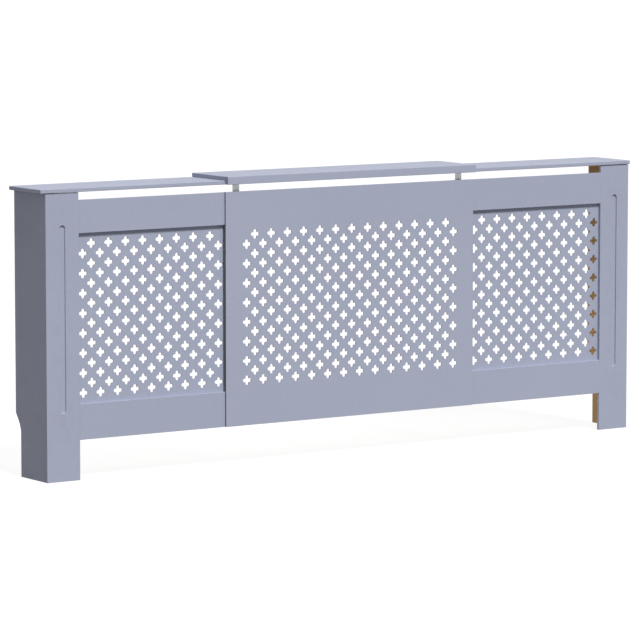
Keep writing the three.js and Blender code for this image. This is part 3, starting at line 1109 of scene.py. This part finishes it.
@dataclass
class MiddleUnit:
    """The bridging unit: pierced panel with its two runners, shelf and fascia."""

    finishes: Finishes
    body: str = "middle_unit"
    arris: float = 0.8
    runner_arris: float = 0.6
    shelf_arris: float = 1.2
    columns: int = 27
    hole_flare: float = 1.5

    def panel(self) -> None:
        """Pierced front panel, whose holes widen towards the back."""
        box = cad_box("middle_panel")
        lattice = CrossLattice(self.columns, box[:, 0].mean(), self.hole_flare)
        dress(lattice.board(box, self.arris), "middle_panel", self.body, self.finishes.sliding_panel())

    def boards(self) -> None:
        """Runners behind the panel, the shelf, and the fascia glued to the shelf's front edge."""
        # The runners take the dark paint that is painted shade, standing in for the shadow beside the panel's
        # ends.
        painted, painted_shade_look = self.finishes.painted, self.finishes.painted_shade_look
        for name, facing, ease, corner, look in (
            ("left_runner", Facing.FRONT, self.runner_arris, None, painted_shade_look),
            ("right_runner", Facing.FRONT, self.runner_arris, None, painted_shade_look),
            ("shelf", Facing.TOP, self.shelf_arris, None, painted),
            ("shelf_fascia", Facing.END, self.arris, self.shelf_arris, painted),
        ):
            node = f"middle_{name}"
            dress(plain_board(node, facing, ease, corner), node, self.body, look)

    def build(self) -> None:
        """Build every piece of the unit."""
        self.panel()
        self.boards()


# ---- camera and studio


@dataclass(frozen=True)
class Camera:
    """The photograph's view: a long lens, a little above the shelf, from the front left."""

    place: tuple[float, float, float] = (-6.4763, -9.5700, 1.6683)
    yaw: float = 0.5914
    pitch: float = 0.1108
    lens: float = 225.97
    sensor: float = 36.0
    farthest: float = 300.0

    def build(self) -> None:
        """Create the camera and make it the scene's."""
        data = bpy.data.cameras.new("photo_view")
        data.lens = self.lens
        data.sensor_width = self.sensor
        data.clip_end = self.farthest
        camera = put_in_scene("photo_view", data)
        camera.location = self.place
        camera.rotation_euler = (math.pi / 2 - self.pitch, 0.0, -self.yaw)
        bpy.context.scene.camera = camera


@dataclass(frozen=True)
class Studio:
    """Pale floor, soft light from the upper front, and a weak fill for the bare insides."""

    light_from: tuple[float, float, float] = (0.0, -0.6, 0.8)
    light_level: float = 1.02
    light_spread: float = 13.0
    ambient: float = 0.28
    reflected: float = 0.71
    floor_bounce: float = 0.21
    floor_white: float = 0.92
    floor_shade: float = 0.13
    floor_size: float = 160.0
    fill_watts: float = 15.0
    fill_size: tuple[float, float] = (0.8, 0.2)
    fill_place: tuple[float, float, float] = (0.0, 1.05, 0.12)
    fill_tilt: float = 55.0

    def lamp(self) -> None:
        """One broad lamp; a level of 1 shows a facing surface at its written colour."""
        data = bpy.data.lights.new("key_light", "SUN")
        data.energy = self.light_level * math.pi
        data.angle = math.radians(self.light_spread)
        lamp = put_in_scene("key_light", data)
        lamp.rotation_euler = Vector(self.light_from).to_track_quat("Z", "Y").to_euler()

    def back_fill(self) -> None:
        """Weak soft lamp behind the cabinet, which lights its bare insides through the open back."""
        data = bpy.data.lights.new("back_fill", "AREA")
        data.energy = self.fill_watts
        data.shape = "RECTANGLE"
        data.size, data.size_y = self.fill_size
        lamp = put_in_scene("back_fill", data)
        lamp.location = self.fill_place
        lamp.rotation_euler = (-math.radians(90.0 - self.fill_tilt), 0.0, 0.0)
        lamp.visible_camera = False
        lamp.visible_glossy = False

    def world(self) -> None:
        """Even ambient light, seen as white by the camera and dimmer in reflections."""
        world = bpy.data.worlds.new("studio")
        bpy.context.scene.world = world
        world.use_nodes = True
        pen = NodePen(world.node_tree)
        rays = pen.add("ShaderNodeLightPath").outputs
        seen = pen.math("MAXIMUM", rays["Is Camera Ray"], rays["Is Transmission Ray"])
        glossy = pen.math("MULTIPLY", rays["Is Glossy Ray"], self.reflected)
        level = pen.spread(pen.math("MAXIMUM", seen, glossy), self.ambient, 1.0, source=(0.0, 1.0))
        pen.feed(world.node_tree.nodes["Background"], {"Color": WHITE, "Strength": level})

    def floor(self) -> None:
        """Pale floor: near white to the camera, with the object's shadow, and dimmer as a bounce."""
        half = self.floor_size / 2
        corners = [[-half, -half, 0.0], [half, -half, 0.0], [half, half, 0.0], [-half, half, 0.0]]
        mesh = bpy.data.meshes.new("floor")
        mesh.from_pydata(corners, [], [[0, 1, 2, 3]])
        constants = {"Roughness": 1.0, "Specular IOR Level": 0.0, "Emission Color": WHITE}
        material, pen, shader = new_material("pale_floor", constants)
        rays = pen.add("ShaderNodeLightPath").outputs
        indirect = pen.math("MAXIMUM", rays["Is Glossy Ray"], rays["Is Transmission Ray"])
        seen = pen.math("MAXIMUM", rays["Is Camera Ray"], indirect)
        bounce = (self.floor_bounce,) * 3 + (1.0,)
        shade = (self.floor_shade,) * 3 + (1.0,)
        glow = pen.math("MULTIPLY", seen, self.floor_white)
        pen.feed(shader, {"Base Color": pen.blend(seen, bounce, shade), "Emission Strength": glow})
        mesh.materials.append(material)
        put_in_scene("floor", mesh)

    def build(self) -> None:
        """Set up light, background and floor."""
        bpy.context.scene.view_settings.view_transform = "Standard"
        self.lamp()
        self.back_fill()
        self.world()
        self.floor()


def write_sizes() -> None:
    """Bring the view layer up to date."""
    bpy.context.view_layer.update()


def main() -> None:
    """Build the camera, the cabinet and the studio."""
    logging.basicConfig(level=logging.INFO, format="%(name)s: %(message)s")
    Camera().build()
    finishes = Finishes()
    for side in Side:
        EndUnit(side, finishes).build()
        log.info("%s built", side.body)
    MiddleUnit(finishes).build()
    log.info("middle_unit built")
    Studio().build()
    write_sizes()


if __name__ == "__main__":
    main()
